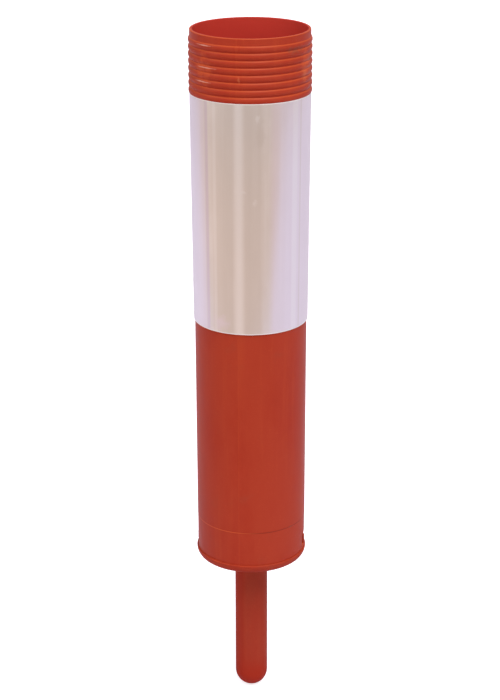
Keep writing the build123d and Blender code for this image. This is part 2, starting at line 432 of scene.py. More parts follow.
def lock_places(tube, plug):
    """The twist lock's polar angles and heights, by name."""
    foot = tube_radii(tube)[-1]
    lug_start = tube.slot_end + tube.home_gap / foot
    entry_start = lug_start + (plug.lug_width + tube.tongue_overlap) / foot
    roof = tube_low.z + tube.slot_height
    lug_top = roof - plug.lug_drop
    return {
        "slot end": tube.slot_end,
        "lug middle": lug_start + plug.lug_width / 2 / foot,
        "entry start": entry_start,
        "entry end": entry_start + (plug.lug_width + 2 * tube.entry_play) / foot,
        "roof": roof,
        "lug top": lug_top,
        "lug bottom": lug_top - plug.lug_height,
        "tongue top": lug_top - plug.lug_height - plug.lug_clearance,
    }


# ---- finishes ----


def put(tree, value, socket):
    """Links a socket, or sets its value."""
    if isinstance(value, bpy.types.NodeSocket):
        tree.links.new(value, socket)
    elif socket.type == "RGBA" and len(value) == 3:
        socket.default_value = (*value, 1.0)
    else:
        socket.default_value = value


def add(tree, kind, inputs=(), **settings):
    """A node with its settings made and its inputs filled, by name or by number."""
    node = tree.nodes.new(kind)
    for name, value in settings.items():
        setattr(node, name, value)
    for key, value in dict(inputs).items():
        put(tree, value, node.inputs[key])
    return node


def math_node(tree, operation, *values):
    """The output of a Math node."""
    return add(tree, "ShaderNodeMath", dict(enumerate(values)), operation=operation).outputs[0]


def product(tree, first, second):
    """One value times another."""
    return math_node(tree, "MULTIPLY", first, second)


def total(tree, first, second):
    """One value plus another."""
    return math_node(tree, "ADD", first, second)


def less(tree, first, second):
    """One value minus another."""
    return math_node(tree, "SUBTRACT", first, second)


def own_point(tree):
    """Where a point lies in its piece's own frame."""
    return add(tree, "ShaderNodeTexCoord").outputs["Object"]


def parts(tree, vector):
    """The three parts of a vector."""
    return add(tree, "ShaderNodeSeparateXYZ", {0: vector}).outputs


def stretched(tree, vector, scale):
    """A vector with each part scaled by its own amount."""
    return add(tree, "ShaderNodeVectorMath", {0: vector, 1: scale}, operation="MULTIPLY").outputs[0]


def facing(tree):
    """Which way the face looks."""
    return add(tree, "ShaderNodeNewGeometry").outputs["Normal"]


def ramp(tree, value, low, high, start=0.0, end=1.0):
    """A value eased from start to end as another goes from low to high."""
    inputs = {"Value": value, "From Min": low, "From Max": high, "To Min": start, "To Max": end}
    return add(tree, "ShaderNodeMapRange", inputs, interpolation_type="SMOOTHSTEP").outputs["Result"]


def mix(tree, factor, first, second, blend="MIX"):
    """Two colours mixed."""
    node = add(tree, "ShaderNodeMix", data_type="RGBA", blend_type=blend)
    colours = [socket for socket in node.inputs if socket.type == "RGBA"]
    put(tree, factor, node.inputs["Factor"])
    put(tree, first, colours[0])
    put(tree, second, colours[1])
    return [socket for socket in node.outputs if socket.type == "RGBA"][0]


def noise(tree, vector, scale, detail=2.0, roughness=0.5):
    """The height of a noise pattern."""
    inputs = {"Vector": vector, "Scale": scale, "Detail": detail, "Roughness": roughness}
    return add(tree, "ShaderNodeTexNoise", inputs, noise_dimensions="3D").outputs["Fac"]


def start_group(name, inputs, outputs):
    """An empty node group with named sockets, and its input and output nodes."""
    group = bpy.data.node_groups.new(name, "ShaderNodeTree")
    for label, default in inputs.items():
        socket = group.interface.new_socket(label, in_out="INPUT", socket_type="NodeSocketFloat")
        socket.default_value = default
    for label in outputs:
        group.interface.new_socket(label, in_out="OUTPUT", socket_type="NodeSocketFloat")
    return group, add(group, "NodeGroupInput").outputs, add(group, "NodeGroupOutput").inputs


def make_place_group():
    """Where a point is round the post, and how far its face looks outwards."""
    outputs = ("Azimuth", "Radius", "Height", "Outward")
    group, _, out = start_group("Place on the post", {}, outputs)
    point = own_point(group)
    x, y, z = parts(group, point)
    put(group, math_node(group, "ARCTAN2", x, product(group, y, -1.0)), out["Azimuth"])
    squares = total(group, math_node(group, "POWER", x, 2.0), math_node(group, "POWER", y, 2.0))
    put(group, math_node(group, "SQRT", squares), out["Radius"])
    put(group, z, out["Height"])
    looks = {0: stretched(group, point, (1.0, 1.0, 0.0)), 1: facing(group)}
    outward = add(group, "ShaderNodeVectorMath", looks, operation="DOT_PRODUCT").outputs["Value"]
    put(group, ramp(group, outward, -0.005, 0.005), out["Outward"])
    return group


def make_grain_group():
    """The skin of moulded plastic: a fine grain, an orange-peel swell and slow mottling."""
    sizes = {"Grain Scale": 1500.0, "Swell Scale": 260.0, "Mottle Scale": 28.0}
    group, given, out = start_group("Moulded grain", sizes, ("Height", "Mottle", "Speckle"))
    place = own_point(group)
    grain = noise(group, place, given["Grain Scale"], 2.0, 0.6)
    swell = noise(group, place, given["Swell Scale"], 1.0)
    height = total(group, product(group, grain, 0.45), swell)
    put(group, height, out["Height"])
    flow = add(group, "ShaderNodeMapping", {"Vector": place, "Scale": (1.0, 1.0, 0.35)}).outputs[0]
    put(group, noise(group, flow, given["Mottle Scale"], 4.0, 0.6), out["Mottle"])
    put(group, noise(group, place, product(group, given["Grain Scale"], 0.4), 2.0), out["Speckle"])
    return group


def make_streak_group():
    """Upright streaks: noise that is drawn out along the post."""
    sizes = {"Scale": 120.0, "Stretch": 0.03, "Detail": 3.0}
    group, given, out = start_group("Upright streaks", sizes, ("Streak",))
    place = own_point(group)
    drawn = add(group, "ShaderNodeCombineXYZ", {0: 1.0, 1: 1.0, 2: given["Stretch"]}).outputs[0]
    vector = stretched(group, place, drawn)
    put(group, noise(group, vector, given["Scale"], given["Detail"], 0.55), out["Streak"])
    return group


def make_scuff_group():
    """Short broken scratches and rubbed patches."""
    sizes = {"Scale": 60.0, "Lean": 0.25, "Amount": 0.5}
    group, given, out = start_group("Scuffs", sizes, ("Scuff", "Patch"))
    place = own_point(group)
    lean = add(group, "ShaderNodeCombineXYZ", {0: 1.0, 1: 1.0, 2: given["Lean"]}).outputs[0]
    vector = stretched(group, place, lean)
    fine = noise(group, vector, product(group, given["Scale"], 7.0), 3.0, 0.7)
    broad = noise(group, place, given["Scale"], 3.0)
    patch = ramp(group, broad, less(group, 0.75, product(group, given["Amount"], 0.25)), 0.85)
    put(group, patch, out["Patch"])
    put(group, product(group, ramp(group, fine, 0.58, 0.72), patch), out["Scuff"])
    return group


def make_parting_group():
    """A mask along the mould's two parting lines, on the faces that look outwards."""
    sizes = {"Azimuth": 0.0, "Half Width": 0.001}
    group, given, out = start_group("Parting lines", sizes, ("Line",))
    place = use(group, "Place on the post")
    offset = less(group, place["Azimuth"], given["Azimuth"])
    across = math_node(group, "ABSOLUTE", math_node(group, "SINE", offset))
    reach = product(group, across, place["Radius"])
    line = ramp(group, reach, 0.0, given["Half Width"], 1.0, 0.0)
    put(group, product(group, line, place["Outward"]), out["Line"])
    return group


def make_band_group():
    """A mask down one side of the post, eased off round it."""
    sizes = {"Azimuth": 0.0, "Half Width": 0.1, "Ease": 0.05}
    group, given, out = start_group("Upright band", sizes, ("Band",))
    offset = less(group, use(group, "Place on the post")["Azimuth"], given["Azimuth"])
    beyond = less(group, math_node(group, "ABSOLUTE", offset), given["Half Width"])
    put(group, ramp(group, beyond, 0.0, given["Ease"], 1.0, 0.0), out["Band"])
    return group


def make_mark_group():
    """A mask for one broken mark on the post's skin."""
    sizes = {"Azimuth": 0.0, "Height": 0.0, "Round": 0.05, "Up": 0.002, "Break Scale": 500.0}
    group, given, out = start_group("Mark", sizes, ("Mark",))
    place = use(group, "Place on the post")
    across = math_node(group, "DIVIDE", less(group, place["Azimuth"], given["Azimuth"]), given["Round"])
    along = math_node(group, "DIVIDE", less(group, place["Height"], given["Height"]), given["Up"])
    squares = total(group, math_node(group, "POWER", across, 2.0), math_node(group, "POWER", along, 2.0))
    broken = noise(group, own_point(group), given["Break Scale"], 3.0, 0.65)
    edge = total(group, math_node(group, "SQRT", squares), product(group, broken, 1.6))
    put(group, ramp(group, edge, 0.9, 1.6, 1.0, 0.0), out["Mark"])
    return group


def use(tree, name, **inputs):
    """The outputs of a shared node group placed in a material."""
    node = add(tree, "ShaderNodeGroup", node_tree=bpy.data.node_groups[name])
    for label, value in inputs.items():
        put(tree, value, node.inputs[label.replace("_", " ")])
    return node.outputs


def start_material(name, **constants):
    """A material with its surface shader, whose unchanging values are set on the sockets."""
    material = bpy.data.materials.new(name)
    material.use_nodes = True
    tree = material.node_tree
    shader = tree.nodes["Principled BSDF"]
    for label, value in constants.items():
        shader.inputs[label.replace("_", " ")].default_value = value
    return material, tree, shader.inputs


def lay(tree, tone, mask, colour, share):
    """A colour laid over a tone where a mask is, up to a share."""
    return mix(tree, product(tree, mask, share), tone, colour)


def lay_marks(tree, tone, marks):
    """Marks laid on a tone. Angles are in degrees from the front, heights in millimetres."""
    for azimuth, half_round, height, half_up, breaks, colour, share in marks:
        mark = use(
            tree,
            "Mark",
            Azimuth=math.radians(azimuth),
            Height=height * MM,
            Round=math.radians(half_round),
            Up=half_up * MM,
            Break_Scale=breaks,
        )["Mark"]
        tone = lay(tree, tone, mark, colour, share)
    return tone


def start_plastic(name, body, settings, painted_top_light, specular=0.05):
    """Moulded plastic's colour: mottled, with painted light where it looks up and painted shade where it
    looks down.
    """
    material, tree, shader = start_material(name, Specular_IOR_Level=specular, IOR=1.5)
    grain = use(tree, "Moulded grain")
    scuffs = use(tree, "Scuffs", Scale=55.0, Lean=0.3, Amount=0.6)
    streak = use(tree, "Upright streaks", Scale=170.0, Stretch=0.04)["Streak"]
    slope = parts(tree, facing(tree))[2]

    tone = lay(tree, body, ramp(tree, grain["Mottle"], 0.62, 0.30), settings.plastic_deep_and_shade, 0.40)
    tone = lay(tree, tone, ramp(tree, streak, 0.50, 0.78), settings.plastic_pale_and_highlight, 0.07)
    tone = lay(tree, tone, ramp(tree, grain["Speckle"], 0.55, 0.8), settings.plastic_pale_and_highlight, 0.07)
    # Painted light on faces that look up, painted shade on faces that look down.
    tone = lay(tree, tone, ramp(tree, slope, 0.30, 0.75), settings.plastic_pale_and_highlight, painted_top_light)
    tone = lay(tree, tone, ramp(tree, slope, -0.20, -0.80), settings.plastic_deep_and_shade, 0.45)
    tone = lay(tree, tone, scuffs["Scuff"], settings.plastic_pale_and_highlight, 0.16)
    tone = lay(tree, tone, scuffs["Patch"], settings.dirt, settings.dirt_amount)
    return material, tree, shader, grain, scuffs, tone


def end_plastic(tree, shader, grain, scuffs, tone, depth, shine):
    """Moulded plastic's gloss and relief."""
    put(tree, tone, shader["Base Color"])
    dull = ramp(tree, grain["Mottle"], 0.25, 0.75, shine - 0.05, shine + 0.06)
    dull = total(tree, dull, product(tree, scuffs["Patch"], 0.10))
    put(tree, dull, shader["Roughness"])
    height = total(tree, grain["Height"], product(tree, scuffs["Scuff"], 0.3))
    bump = add(tree, "ShaderNodeBump", {"Height": height, "Strength": depth, "Distance": 0.00006})
    put(tree, bump.outputs[0], shader["Normal"])


def make_plug_plastic(settings, tube):
    """The plug's plastic, in shade where its spigot stands behind the tube's slots."""
    body = settings.plug_plastic
    material, tree, shader, grain, scuffs, tone = start_plastic("plug plastic", body, settings, 0.1)
    place = use(tree, "Place on the post")
    bore = tube_radii(tube)[-1] - tube.wall
    within = ramp(tree, place["Radius"], bore, bore + 1 * MM, 1.0, 0.0)
    above = ramp(tree, place["Height"], tube_low.z - 0.1 * MM, tube_low.z + 0.1 * MM)
    shaded = product(tree, product(tree, within, above), place["Outward"])
    tone = lay(tree, tone, shaded, settings.plastic_shaded, 0.85)
    end_plastic(tree, shader, grain, scuffs, tone, 0.5, 0.46)
    return material


def make_spike_plastic(settings):
    """The spike's plastic, with painted shade down its left side, and darker towards its tip."""
    body = settings.spike_plastic
    material, tree, shader, grain, scuffs, tone = start_plastic("spike plastic", body, settings, 0.1)
    place = use(tree, "Place on the post")
    # Painted shade down the spike's left side.
    middle, half_width = math.radians(-62), math.radians(24)
    left = use(tree, "Upright band", Azimuth=middle, Half_Width=half_width, Ease=0.4)["Band"]
    tone = lay(tree, tone, left, settings.plastic_deep_and_shade, 0.55)
    tip = ramp(tree, place["Height"], spike_low.z + 14 * MM, spike_low.z + 40 * MM, 1.0, 0.0)
    tone = lay(tree, tone, tip, settings.plastic_deep_and_shade, 0.75)
    end_plastic(tree, shader, grain, scuffs, tone, 0.7, 0.5)
    return material


def make_tube_plastic(settings, tube, plug):
    """The tube's plastic, with painted light inside its mouth, its parting line, its step line with a
    painted highlight on its left and painted shade on its right, the marks of use, and painted light on the
    neck's sides and the ribs' left flanks.
    """
    body, painted_top_light = settings.plastic, settings.painted_top_light_amount
    material, tree, shader, grain, scuffs, tone = start_plastic("orange plastic", body, settings, painted_top_light, 0.12)
    place = use(tree, "Place on the post")
    # Painted light on the tube's inner wall, eased in up the sleeve's height and full above it.
    inside = less(tree, 1.0, place["Outward"])
    above = ramp(tree, place["Height"], sleeve_low.z, sleeve_high.z)
    tone = lay(tree, tone, product(tree, inside, above), settings.plastic_inside_painted_light, 0.9)
    line = use(tree, "Parting lines", Azimuth=tube.parting_angle, Half_Width=0.0006)["Line"]
    tone = lay(tree, tone, line, settings.plastic_pale_and_highlight, 0.09)
    # The step line, with a painted highlight on its left and painted shade on its right.
    step_line = plug_high.z + plug.seat_gap
    away = math_node(tree, "ABSOLUTE", less(tree, place["Height"], step_line))
    side = ramp(tree, place["Azimuth"], -0.35, 0.30)
    edge = mix(tree, side, settings.plastic_pale_and_highlight, settings.plastic_shaded)
    tone = lay(tree, tone, ramp(tree, away, 0.0002, 0.0006, 1.0, 0.0), edge, 0.5)
    pale, painted_side_light, painted_rib_highlight = (0.80, 0.26, 0.11), settings.plastic_pale_and_highlight, (0.90, 0.52, 0.42)
    # Marks as azimuth, half round, height, half up, break scale, colour and share: a pale nick and a dark
    # fleck by the parting line, a smudge of dirt, pale scuffs, painted light over the neck's left and right
    # sides, and a dark mark on the step line at the right.
    marks = [
        (-10.5, 1.8, 447, 4.5, 420.0, pale, 0.30),
        (-10.0, 0.9, 472, 3.5, 420.0, settings.plastic_deep_and_shade, 0.6),
        (45.0, 21.0, 469, 5.5, 330.0, settings.dirt, 0.36),
        (60.0, 7.0, 447, 10.0, 900.0, pale, 0.30),
        (-50.0, 16.0, 452, 20.0, 160.0, painted_side_light, 0.35),
        (62.0, 18.0, 455, 22.0, 160.0, painted_side_light, 0.30),
        (46.7, 5.0, 40, 1.0, 420.0, settings.dirt, 0.55),
    ]
    # Painted highlights along the upper flanks of the first, fourth and sixth ribs, on the left.
    crests = rib_crests(tube)
    for rib in (0, 3, 5):
        marks.append((-47.0, 17.0, crests[rib] / MM + 0.9, 0.8, 90.0, painted_rib_highlight, 0.55))
    tone = lay_marks(tree, tone, marks)
    end_plastic(tree, shader, grain, scuffs, tone, 0.5, 0.42)
    return material


def make_sheeting(settings, tube):
    """Satin metallised sheeting: drawn streaks, painted reflections in upright bands, a painted highlight
    over the parting ridge, white cut edges.
    """
    material, tree, shader = start_material("reflective sheeting", Specular_IOR_Level=0.5)
    place = use(tree, "Place on the post")
    bands = use(tree, "Upright streaks", Scale=42.0, Stretch=0.035, Detail=2.0)["Streak"]
    streaks = use(tree, "Upright streaks", Scale=300.0, Stretch=0.02, Detail=3.0)["Streak"]
    scuffs = use(tree, "Scuffs", Scale=70.0, Lean=0.5, Amount=0.5)
    grain = use(tree, "Moulded grain", Grain_Scale=2600.0, Swell_Scale=420.0, Mottle_Scale=80.0)
    pale, dark, reflected_tint = settings.sheeting_pale, settings.sheeting_dark, settings.sheeting_reflected_tint

    tone = lay(tree, settings.sheeting, ramp(tree, bands, 0.60, 0.36), dark, 0.45)
    tone = lay(tree, tone, ramp(tree, streaks, 0.45, 0.75), pale, 0.25)
    tone = lay(tree, tone, ramp(tree, grain["Mottle"], 0.35, 0.70), dark, 0.22)
    # painted reflections and highlights in bands down the post: azimuth, half width and ease in degrees;
    # colour and share
    painted_reflection_bands = (
        (-80, 30, 3, reflected_tint, 0.55),
        (64, 40, 8, reflected_tint, 0.55),
        (-46, 0.8, 2.4, (0.76, 0.68, 0.82), 0.60),
        (2, 6, 7, dark, 0.50),
        (-27, 5, 8, dark, 0.40),
        (math.degrees(tube.parting_angle) + 2, 0.4, 6.5, pale, 0.95),
        (-36, 0.8, 1.6, pale, 0.40),
        (47, 2, 3, pale, 0.45),
        (55, 0.5, 1.2, dark, 0.45),
    )
    for azimuth, half_width, ease, shade, share in painted_reflection_bands:
        turns = [math.radians(value) for value in (azimuth, half_width, ease)]
        band = use(tree, "Upright band", Azimuth=turns[0], Half_Width=turns[1], Ease=turns[2])["Band"]
        tone = lay(tree, tone, band, shade, share)
    tone = lay(tree, tone, scuffs["Scuff"], pale, 0.45)
    # Marks: three pale spots, a patch of painted bluish reflection low on the left, and a long dark patch.
    marks = (
        (-10.0, 8.0, 353, 3.0, 300.0, pale, 0.8),
        (6.7, 4.0, 415, 5.0, 500.0, pale, 0.5),
        (4.0, 4.0, 344, 4.5, 500.0, pale, 0.4),
        (-32.0, 14.0, 237, 14.0, 90.0, reflected_tint, 0.7),
        (9.0, 7.0, 404, 26.0, 90.0, dark, 0.5),
    )
    tone = lay_marks(tree, tone, marks)
    low = ramp(tree, place["Height"], sleeve_low.z + 0.7 * MM, sleeve_low.z + 1.1 * MM, 1.0, 0.0)
    high = ramp(tree, place["Height"], sleeve_high.z - 0.9 * MM, sleeve_high.z - 0.5 * MM)
    cut = math_node(tree, "MAXIMUM", low, high)
    put(tree, mix(tree, cut, tone, pale), shader["Base Color"])

    rough = ramp(tree, bands, 0.3, 0.7, 0.36, 0.28)
    rough = total(tree, rough, product(tree, scuffs["Patch"], 0.08))
    put(tree, total(tree, rough, product(tree, cut, 0.3)), shader["Roughness"])
    put(tree, less(tree, 0.92, product(tree, cut, 0.8)), shader["Metallic"])
    wave = add(tree, "ShaderNodeBump", {"Height": bands, "Strength": 0.5, "Distance": 0.001})
    inputs = {"Height": total(tree, streaks, grain["Height"]), "Strength": 0.25, "Distance": 0.00008}
    fine = add(tree, "ShaderNodeBump", {**inputs, "Normal": wave.outputs[0]})
    put(tree, fine.outputs[0], shader["Normal"])
    return material


def make_zinc(settings):
    """Zinc-plated steel with a cloudy passivated tone."""
    material, tree, shader = start_material("screw zinc", Metallic=1.0)
    grain = use(tree, "Moulded grain", Grain_Scale=3500.0, Swell_Scale=900.0, Mottle_Scale=260.0)
    warm = mix(tree, grain["Mottle"], settings.zinc, (0.60, 0.56, 0.42))
    put(tree, warm, shader["Base Color"])
    put(tree, ramp(tree, grain["Mottle"], 0.3, 0.7, 0.28, 0.45), shader["Roughness"])
    bump = add(tree, "ShaderNodeBump", {"Height": grain["Height"], "Strength": 0.3, "Distance": 0.00005})
    put(tree, bump.outputs[0], shader["Normal"])
    return material


def make_floor_paper(stage):
    """Matt studio floor, white behind the post and warmer towards the front."""
    material, tree, shader = start_material("studio floor", Specular_IOR_Level=0.2, Roughness=0.9)
    place = parts(tree, own_point(tree))
    towards = total(tree, product(tree, place[0], -0.42), product(tree, place[1], -0.91))
    tone = mix(tree, ramp(tree, towards, 0.12, 0.50), stage.floor_pale, stage.floor_warm)
    paper = noise(tree, own_point(tree), 900.0, 2.0)
    tone = mix(tree, product(tree, paper, 0.03), tone, (0.8, 0.8, 0.8))
    put(tree, tone, shader["Base Color"])
    shader["Emission Color"].default_value = (1.0, 1.0, 1.0, 1.0)
    seen = add(tree, "ShaderNodeLightPath").outputs["Is Camera Ray"]
    put(tree, product(tree, seen, stage.floor_glow), shader["Emission Strength"])
    return material


# ---- pieces ----


def rib_outline(tube, neck, crest, low_end=None):
    """One rib's section from its upper valley to its lower one, its flanks rounded into the neck."""
    half = tube.rib_width / 2
    crown = (half**2 + tube.rib_height**2) / (2 * tube.rib_height)
    hub = neck + tube.rib_height - crown
    valley = tube.valley_round
    drop = math.sqrt((crown + valley) ** 2 - (neck + valley - hub) ** 2)
    lean = math.degrees(math.asin(drop / (crown + valley)))
    upper = arc((neck + valley, crest + drop), valley, 180, 180 + lean, 3)
    if low_end is None:
        lower = arc((neck + valley, crest - drop), valley, 180 - lean, 180, 3)
        return upper + arc((hub, crest), crown, lean, -lean, 10)[1:-1] + lower
    end_lean = math.degrees(math.asin((crest - low_end) / crown))
    return upper + arc((hub, crest), crown, lean, -end_lean, 9)[1:]


def tube_outline(tube, plug):
    """The tube's half-section, from its foot up the outside and down the inside."""
    neck, seat_top, seat_bottom, line, foot = tube_radii(tube)
    rim = tube_high.z
    crests = rib_crests(tube)
    ribs = []
    for crest in crests:
        ribs += rib_outline(tube, neck, crest, sleeve_high.z if crest == crests[-1] else None)
    mouth = mounts["mouth"]["dims"]["r_mm"] * MM
    step_line = plug_high.z + plug.seat_gap
    bore = foot - tube.wall
    lower_end = [(bore, tube_low.z), (foot, tube_low.z)]
    outside = lower_end + [
        (foot + tube.foot_flare, step_line - 0.15 * MM),
        (line, step_line),
        (seat_bottom, sleeve_low.z),
        (seat_top, sleeve_high.z),
    ]
    outer_round, inner_round = tube.rim_outer_round, tube.rim_inner_round
    outer_edge = arc((neck - outer_round, rim - outer_round), outer_round, 0, 90, 5)
    inner_edge = arc((mouth + inner_round, rim - inner_round), inner_round, 90, 180, 4)
    inside = [
        (mouth, rim - mounts["mouth"]["dims"]["length_mm"] * MM),
        (seat_bottom - tube.wall, sleeve_low.z),
        (bore, step_line),
    ]
    return outside + ribs[::-1] + outer_edge + inner_edge + inside


def near_line(point, azimuth, spread):
    """True for a point within a small angle of the parting line or of the one opposite."""
    across = math.sin(math.atan2(point.x, -point.y) - azimuth)
    return abs(across) < spread


def raise_parting_ridge(piece, tube):
    """The thin ridge that the mould leaves down both sides, outside the sleeve's seat."""

    def on_skin(point):
        wide = math.hypot(point.x, point.y) > tube_radii(tube)[-1] - 0.3 * MM
        bare = point.z > sleeve_high.z + 0.3 * MM or point.z < sleeve_low.z - 0.3 * MM
        return wide and bare and near_line(point, tube.parting_angle, 0.002)

    work_on(piece)
    select_where(piece, "edges", on_skin)
    bpy.ops.mesh.bevel(offset=tube.parting_width, segments=2, affect="EDGES", profile=0.5)
    select_where(piece, "vertices", on_skin)
    grow = 1 + tube.parting_height / tube_high.x
    bpy.ops.transform.resize(value=(grow, grow, 1), center_override=(0, 0, 0))
    leave_edit()


def cut_lock_slots(piece, tube, plug):
    """The twist lock's slots: a locking slot round the wall, and an entry up into its far end."""
    lock = lock_places(tube, plug)
    foot = tube_radii(tube)[-1]
    inner, outer, roof = foot - 2 * tube.wall, foot + tube.wall, lock["roof"]
    entry_middle = (lock["entry start"] + lock["entry end"]) / 2
    shapes = [
        (lock["slot end"], entry_middle, lock["tongue top"], lock["slot end"]),
        (lock["entry start"], lock["entry end"], tube_low.z - tube.wall, lock["entry end"]),
    ]
    for start, end, floor, rounded in shapes:
        box = [(inner, floor), (outer, floor), (outer, roof), (inner, roof)]
        cutter = turn_solid("slot cutter", box, 24, start, end - start)

        def roof_corner(point):
            return abs(point.z - roof) < 0.01 * MM and abs(math.atan2(point.y, point.x) - rounded) < 0.001

        select_where(cutter, "edges", roof_corner)
        bpy.ops.mesh.bevel(offset=tube.slot_round, segments=8, affect="EDGES", profile=0.5)
        leave_edit()
        for tool in copies_round(cutter, 2):
            combine(piece, tool, "DIFFERENCE")


class POST_OT_tube(bpy.types.Operator):
    """Model the ribbed tube"""

    bl_idname = "post.tube"
    bl_label = "Tube"

    def execute(self, context):
        scene = context.scene
        tube, plug = scene.post_tube, scene.post_plug
        piece = turn_solid("ribbed_tube", tube_outline(tube, plug), 360)
        raise_parting_ridge(piece, tube)
        cut_lock_slots(piece, tube, plug)
        material = make_tube_plastic(scene.post_finish, tube, plug)
        finish_piece(piece, material, "post", ["post_tube"])
        return {"FINISHED"}


class POST_OT_sleeve(bpy.types.Operator):
    """Wrap the reflective sheeting round the tube, its ends lapped at the back"""

    bl_idname = "post.sleeve"
    bl_label = "Reflective sleeve"

    def execute(self, context):
        scene = context.scene
        tube, sleeve = scene.post_tube, scene.post_sleeve
        _, seat_top, seat_bottom, _, _ = tube_radii(tube)
        thickness = sleeve_high.x - seat_top - sleeve.gap
        lap = sleeve_high.y - sleeve_high.x
        low, high, soft = sleeve_low.z, sleeve_high.z, sleeve.edge_round
        bottom, top = seat_bottom + sleeve.gap, seat_top + sleeve.gap

        def strip(inset, outset):
            lower, upper = bottom + outset, top + outset
            return [
                (bottom + inset, low),
                *arc((lower - soft, low + soft), soft, -90, 0, 3),
                *arc((upper - soft, high - soft), soft, 0, 90, 3),
                (top + inset, high),
            ]

        piece = turn_solid("silver_sleeve", strip(0, thickness), 360)
        sweep = sleeve.overlap_width / seat_top
        flap = turn_solid(
            "flap", strip(thickness / 2, thickness + lap), 14, sleeve.overlap_angle, sweep
        )
        combine(piece, flap, "UNION")
        material = make_sheeting(scene.post_finish, tube)
        finish_piece(piece, material, "post", ["reflective_sleeve"])
        return {"FINISHED"}


class POST_OT_plug(bpy.types.Operator):
    """Model the base plug with its lip, spigot, webs, drains and lugs"""

    bl_idname = "post.plug"
    bl_label = "Base plug"

    def execute(self, context):
        scene = context.scene
        tube, plug, spike = scene.post_tube, scene.post_plug, scene.post_spike
        foot = tube_radii(tube)[-1]
        spigot = foot - tube.wall - plug.fit
        spigot_middle = spigot - plug.spigot_wall / 2
        collar = mounts["spike"]["dims"]["r_mm"] * MM + spike.collar_step
        bore = collar + spike.collar_fit
        boss = collar + plug.boss_wall
        lip, reach = plug_high.x, plug.lip_edge_reach
        height, soft = plug.lip_edge_height, plug.lip_top_round
        outline = [
            (bore, 0.0),
            *arc((lip - reach, height), reach, -90, 0, 16, height),
            *arc((lip - soft, height), soft, 0, 90, 4)[1:],
            (spigot, height + soft),
            (spigot, plug_high.z - plug.spigot_lead_in),
            (spigot - plug.spigot_lead_in, plug_high.z),
            (spigot - plug.spigot_wall, plug_high.z),
            (spigot - plug.spigot_wall, plug.floor_thickness),
            (boss, plug.floor_thickness),
            (boss, plug.boss_top - 0.4 * MM),
            (boss - 0.4 * MM, plug.boss_top),
            (bore, plug.boss_top),
        ]
        piece = turn_solid("base_plug_body", outline, 240)

        root = boss - plug.web_thickness
        below = plug.floor_thickness - plug.web_thickness
        corners = [
            (root, below),
            (spigot_middle, below),
            (spigot_middle, plug.boss_top + plug.web_rise),
            (boss, plug.boss_top - 0.05 * MM),
            (root, plug.boss_top - 0.05 * MM),
        ]
        across = Vector((0, plug.web_thickness, 0))
        web = push_solid("web", [point - across / 2 for point in section(corners)], across)
        for tool in copies_round(web, plug.web_count):
            combine(piece, tool, "UNION")

        lock = lock_places(tube, plug)
        lug_top, lug_base = lock["lug top"], lock["lug bottom"]
        lug_half, lug_soft = plug.lug_width / 2, plug.lug_round
        faces = [(-lug_half, lug_base), (lug_half, lug_base)]
        faces += arc((lug_half - lug_soft, lug_top - lug_soft), lug_soft, 0, 90, 6)
        faces += arc((lug_soft - lug_half, lug_top - lug_soft), lug_soft, 90, 180, 6)
        out = Vector((foot + plug.lug_proud - spigot_middle, 0, 0))
        lug = push_solid("lug", [Vector((spigot_middle, y, z)) for y, z in faces], out)
        for tool in copies_round(lug, 2, lock["lug middle"]):
            combine(piece, tool, "UNION")

        floor_middle = (boss + spigot) / 2
        drains = drill("drain", plug.drain_radius, 24, floor_middle, -1 * MM, 2 * plug.floor_thickness)
        for tool in copies_round(drains, plug.web_count, math.pi / plug.web_count):
            combine(piece, tool, "DIFFERENCE")
        ring = (collar + boss) / 2
        pilot_radius, pilot_low = spike.screw_core + spike.collar_fit, screws_low.z - 3 * MM
        pilot = drill("pilot", pilot_radius, 16, ring, pilot_low, plug.boss_top)
        for tool in copies_round(pilot, spike.screw_count, math.pi / 2):
            combine(piece, tool, "DIFFERENCE")
        material = make_plug_plastic(scene.post_finish, tube)
        finish_piece(piece, material, "base", ["base_plug"])
        return {"FINISHED"}


def drill(name, radius, sides, out, low, high):
    """A round cutter that stands at a distance out from the axis."""
    deselect()
    middle = (out, 0, (low + high + 1 * MM) / 2)
    bpy.ops.mesh.primitive_cylinder_add(
        vertices=sides, radius=radius, depth=high + 1 * MM - low, location=middle
    )
    piece = name_piece(name)
    bpy.ops.object.transform_apply(location=True)
    return piece


class POST_OT_spike(bpy.types.Operator):
    """Model the hollow spike with its round tip and its flange"""

    bl_idname = "post.spike"
    bl_label = "Spike"

    def execute(self, context):
        scene = context.scene
        plug, spike = scene.post_plug, scene.post_spike
        radius = mounts["spike"]["dims"]["r_mm"] * MM
        bore = radius - spike.wall
        weep = spike.weep_radius
        tip_centre = spike_low.z + math.sqrt(radius**2 - weep**2)
        collar = radius + spike.collar_step
        flange = spike_high.x
        tip_lean = math.degrees(math.asin(weep / radius))
        hollow_lean = math.degrees(math.asin(weep / bore))
        outline = [
            *arc((0, tip_centre), radius, tip_lean - 90, 0, 18),
            (radius, -0.3 * MM),
            (collar, 0.0),
            (collar, plug.boss_top),
            (flange, plug.boss_top),
            *arc((flange - 0.6 * MM, spike_high.z - 0.6 * MM), 0.6 * MM, 0, 90, 4),
            (bore, spike_high.z),
            *arc((0, tip_centre), bore, 0, hollow_lean - 90, 12),
        ]
        piece = turn_solid("hollow_spike", outline, 128)
        ring = (2 * collar + plug.boss_wall) / 2
        hole_radius = spike.screw_core + spike.screw_hole_spare
        hole = drill("hole", hole_radius, 20, ring, plug.boss_top - 1 * MM, spike_high.z)
        for tool in copies_round(hole, spike.screw_count, math.pi / 2):
            combine(piece, tool, "DIFFERENCE")
        material = make_spike_plastic(scene.post_finish)
        finish_piece(piece, material, "base", ["spike"])
        return {"FINISHED"}


